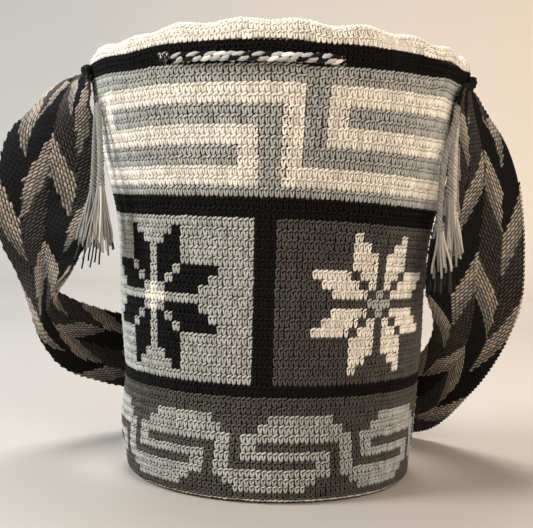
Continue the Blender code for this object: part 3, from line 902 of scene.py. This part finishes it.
def cord_line():
    """Centre line of the cord: points, directions along it and directions out from the bag's axis."""
    turn = np.linspace(-180.0, 180.0, 1441)
    angle = np.radians(FRONT + turn)
    left = ease((turn - EYELETS[0] + CORD_CROSSING) / (2 * CORD_CROSSING))
    right = ease((EYELETS[1] + CORD_CROSSING - turn) / (2 * CORD_CROSSING))
    wall = np.interp(CORD_LEVEL, LEVELS, RADII)
    outside = wall + CORD_RADIUS + 0.0006
    inside = wall - WALL - CORD_RADIUS - 0.0010
    radius = inside + (outside - inside) * left * right
    height = CORD_LEVEL - sink(CORD_LEVEL, angle)
    line = np.stack([radius * np.cos(angle), radius * np.sin(angle), height], axis=-1)
    travelled = np.concatenate([[0.0], np.cumsum(np.linalg.norm(np.diff(line, axis=0), axis=1))])
    count = int(travelled[-1] / LEAF_PITCH)
    at = travelled[-1] * np.arange(count) / count
    points = np.stack([np.interp(at, travelled, line[:, k]) for k in range(3)], axis=-1)
    along = np.roll(points, -1, axis=0) - np.roll(points, 1, axis=0)
    along /= np.linalg.norm(along, axis=1, keepdims=True)
    out = np.cross(along, (0.0, 0.0, 1.0))
    out /= np.linalg.norm(out, axis=1, keepdims=True)
    return points, along, out


def tubes(paths, radius, sides):
    """Arrays of round strands along (paths, points, 3): corners, triangles and strand coordinates."""
    paths = np.asarray(paths)
    count, length = paths.shape[:2]
    along = np.gradient(paths, axis=1)
    along /= np.linalg.norm(along, axis=2, keepdims=True)
    first = np.cross(along, (0.35, 1.0, 0.1))
    first /= np.linalg.norm(first, axis=2, keepdims=True)
    second = np.cross(along, first)
    angle = 2 * math.pi * np.arange(sides) / sides
    radius = np.broadcast_to(np.asarray(radius, dtype=float), (count, length))[..., None, None]
    ring = first[:, :, None] * np.cos(angle)[:, None] + second[:, :, None] * np.sin(angle)[:, None]
    corners = paths[:, :, None] + radius * ring
    i, k = np.meshgrid(np.arange(length - 1), np.arange(sides), indexing="ij")
    here = (i * sides + k).ravel()
    beside = (i * sides + (k + 1) % sides).ravel()
    one = np.concatenate([np.stack([here, beside, here + sides], axis=1),
                          np.stack([beside, beside + sides, here + sides], axis=1)])
    steps = np.linalg.norm(np.diff(paths, axis=1), axis=2)
    run = np.concatenate([np.zeros((count, 1)), np.cumsum(steps, axis=1)], axis=1)
    u = k.ravel() / sides
    step = 1.0 / sides
    low, high = run[:, i.ravel()] / 0.005, run[:, i.ravel() + 1] / 0.005
    u = np.broadcast_to(u, low.shape)
    near_low = np.stack([u, low], -1)
    near_high = np.stack([u, high], -1)
    far_low = np.stack([u + step, low], -1)
    far_high = np.stack([u + step, high], -1)
    uv_one = np.stack([near_low, far_low, near_high], axis=2)
    uv_two = np.stack([far_low, far_high, near_high], axis=2)
    strand = np.concatenate([uv_one, uv_two], axis=1)
    ends = (length - 1) * sides
    caps = [(0, k + 1, k) for k in range(1, sides - 1)]
    caps += [(ends, ends + k, ends + k + 1) for k in range(1, sides - 1)]
    one = np.concatenate([one, caps])
    strand = np.concatenate([strand, np.zeros((count, len(caps), 3, 2))], axis=1)
    triangles = one[None] + (length * sides * np.arange(count))[:, None, None]
    return corners.reshape(-1, 3), triangles.reshape(-1, 3), strand.reshape(-1, 2), len(one), length * sides


def strand_piece(name, parts, node, cottons):
    """One piece of round strands; each part is (paths, radius, sides, yarn of each path)."""
    rng = np.random.default_rng(len(name) + 3)
    points, faces, strands, shades, colours = [], [], [], [], []
    start = 0
    for paths, radius, sides, yarn in parts:
        corners, triangles, strand, per_path, corners_each = tubes(paths, radius, sides)
        points.append(corners)
        faces.append(triangles + start)
        start += len(corners)
        strands.append(strand)
        shades.append(np.repeat(rng.uniform(0.0, 1.0, len(paths)), corners_each))
        colours.append(np.repeat(np.asarray(yarn), per_path))
    piece = mesh_from_arrays(name, np.concatenate(points), np.concatenate(faces), np.concatenate(strands),
                             np.concatenate(shades), np.concatenate(colours), cottons)
    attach(piece, "root")
    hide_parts(node)


def braided_cord():
    """The strands that show on the braid, in four rows round the cord."""
    points, along, out = cord_line()
    up = np.cross(out, along)
    bm = bmesh.new()
    bead(bm, (0.0, 0.0, 0.0), (8.2, 3.3, 2.6), 0.0, sides=6, rings=6)
    corners, triangles, strand = template_arrays(bm)
    triangles, strand = turned(triangles, strand)
    rng = np.random.default_rng(8)
    places, yarn = [], []
    middles = 0.5 * (points + np.roll(points, -1, axis=0))
    outside = np.interp(CORD_LEVEL, LEVELS, RADII)
    away = np.hypot(points[:, 0], points[:, 1]) - outside
    shown = (away > 0.0006) | (away < -WALL - 0.0015)
    points, middles, along, out, up = (rows[shown] for rows in (points, middles, along, out, up))
    count = len(points)
    for row in range(4):
        around = math.radians(45.0 + 90.0 * row)
        normal = math.cos(around) * out + math.sin(around) * up
        beside = -math.sin(around) * out + math.cos(around) * up
        lean = math.radians(20.0) + 0.07 * rng.standard_normal((count, 1))
        direction = np.cos(lean) * along + np.sin(lean) * beside
        across = np.cross(direction, normal)
        centre = (middles if row % 2 else points) + 0.0019 * normal
        local = 0.001 * corners
        placed = centre[:, None] + local[None, :, 0:1] * across[:, None]
        placed = placed + local[None, :, 1:2] * normal[:, None] + local[None, :, 2:3] * direction[:, None]
        places.append(placed.reshape(-1, 3))
        yarn.append([BRAID[(k + 3 * row) % len(BRAID)] for k in range(count)])
    total = 4 * count
    faces = triangles[None] + (len(corners) * np.arange(total))[:, None, None]
    piece = mesh_from_arrays("drawstring_braid", np.concatenate(places), faces.reshape(-1, 3),
                             np.tile(strand.reshape(-1, 2), (total, 1)),
                             np.repeat(rng.uniform(0.0, 1.0, total), len(corners)),
                             np.repeat(np.concatenate(yarn), len(triangles)), COTTON)
    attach(piece, "root")
    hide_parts("drawstring")
    core = cord_line()[0]
    core = np.concatenate([core, core[:1]])
    strand_piece("drawstring_core", [(core[None], 0.0017, 6, [BLACK])], "drawstring", COTTON)


braided_cord()

# Tassels: the ends of the strap's strands, twisted into cords of three plies at its two seams, some of
# them tied off with a knot. Below it the yarn ends hang loose.
# The tassels' yarns are darker than the body's: partly the strap yarn's own tone, partly painted shade
TASSEL_COLOURS = ((0.58, 0.52, 0.44), (0.27, 0.27, 0.25), (0.045, 0.04, 0.036), YARN_COLOURS[BLACK])
TASSEL_COTTON = [yarn_material("tassel_" + name, colour, sheen / 2)
                 for name, colour, sheen in zip(YARN_NAMES, TASSEL_COLOURS, YARN_SHEEN)]
TWIST_OFFSET = 0.0012
TWIST_PITCH = 0.0085
PLY_RADIUS = 0.00103
KNOT_RADIUS = 0.0024
KNOT_YARN = 0.0014

# Piece, azimuth, azimuth at the seam, depth of the start below the lip, cord length, loose length, lean,
# yarn, threads, their radius, spread, dark threads behind, whether a knot ends the cord
TASSELS = (
    ("tassel_left_1", 201.5, 202.0, 0.052, 0.055, 0.040, -0.003, LIGHT, 46, 0.0006, 0.0125, 3, False),
    ("tassel_left_2", 205.5, 204.5, 0.050, 0.054, 0.042, 0.005, LIGHT, 46, 0.0006, 0.0120, 5, False),
    ("tassel_right_1", -31.0, -24.5, 0.046, 0.078, 0.034, -0.008, LIGHT, 15, 0.0008, 0.0085, 9, True),
    ("tassel_right_2", -26.5, -22.5, 0.044, 0.062, 0.045, -0.002, LIGHT, 24, 0.0008, 0.0075, 10, False),
    ("tassel_right_3", -22.3, -20.5, 0.047, 0.070, 0.034, 0.003, CREAM, 15, 0.0008, 0.0085, 0, True),
    ("tassel_right_4", -18.2, -18.2, 0.048, 0.046, 0.034, 0.005, LIGHT, 16, 0.0007, 0.0045, 0, False),
)


def hanging_threads(rng, foot, radius, spread, length, count, axes):
    """Loose yarn ends that fan out and bend a little as they fall; axes are sideways, out and down."""
    sideways, out, down = axes
    t = np.linspace(0.0, 1.0, 12)
    found = []
    for _ in range(count):
        around = 2 * math.pi * rng.uniform()
        away = math.sqrt(rng.uniform(0.02, 1.0))
        reach = away * (radius + (spread - radius) * (0.75 * t + 0.25 * ease(t)))
        path = foot + down * (length * rng.uniform(0.78, 1.08) * t)[:, None]
        path = path + sideways * (reach * math.cos(around))[:, None]
        path = path + out * (reach * math.sin(around))[:, None]
        bends = rng.uniform(-0.0014, 0.0014, 2)
        path = path + sideways * (bends[0] * np.sin(4.5 * t + around) * t)[:, None]
        path = path + out * (bends[1] * np.sin(5.5 * t) * t)[:, None]
        found.append(path)
    return found


def tassel(name, azimuth, seam, depth, cord, loose, lean, yarn, threads, thick, spread, dark, knotted):
    rng = np.random.default_rng(int(azimuth) % 360)
    start = BAG_TOP - depth
    angle = math.radians(azimuth)
    out = np.array((math.cos(angle), math.sin(angle), 0.0))
    sideways = np.array((-math.sin(angle), math.cos(angle), 0.0))
    down = np.array((0.0, 0.0, -1.0))
    radius = wall_radius(start, azimuth) + 0.0034
    top = out * radius + np.array((0.0, 0.0, start))
    bring = radius * math.radians(seam - azimuth)

    def line(share):
        share = np.asarray(share)[..., None]
        aside = lean * ease(share) + bring * (1 - ease(share / 0.5))
        return top + down * cord * share + sideways * aside

    share = np.linspace(0.0, 1.0, int(cord / 0.0009))
    twist = -2 * math.pi * cord / TWIST_PITCH * share
    opened = TWIST_OFFSET * (1.0 if knotted else 1.0 + 0.7 * ease((share - 0.75) / 0.25))
    plies = []
    for ply in range(3):
        phase = twist + 2 * math.pi * ply / 3
        ring = np.cos(phase)[:, None] * sideways + np.sin(phase)[:, None] * out
        plies.append(line(share) + np.reshape(opened, (-1, 1)) * ring)
    foot = line(1.0) - 0.002 * down
    axes = (sideways, out, down)
    hanging = hanging_threads(rng, foot, 0.0020, spread, loose, threads, axes)
    colours = list(rng.choice((yarn, CREAM, LIGHT, BLACK), size=threads, p=(0.70, 0.14, 0.12, 0.04)))
    behind = foot - 0.003 * out + 0.3 * loose * down
    hanging += hanging_threads(rng, behind, 0.004, 1.3 * spread, 1.05 * loose, dark, axes)
    colours += list(rng.choice((DARK, BLACK), size=dark))
    parts = [(np.array(plies), PLY_RADIUS, 7, [yarn] * 3), (np.array(hanging), thick, 5, colours)]
    if knotted:
        turn = np.linspace(0.0, 2.2 * 2 * math.pi, 44)
        wrap = foot + np.linspace(0.0005, 0.0060, 44)[:, None] * down
        wrap = wrap + KNOT_RADIUS * (np.cos(turn)[:, None] * sideways + np.sin(turn)[:, None] * out)
        parts.append((wrap[None], KNOT_YARN, 7, [yarn]))
    strand_piece(name + "_yarns", parts, name, TASSEL_COTTON)


for row in TASSELS:
    tassel(*row)
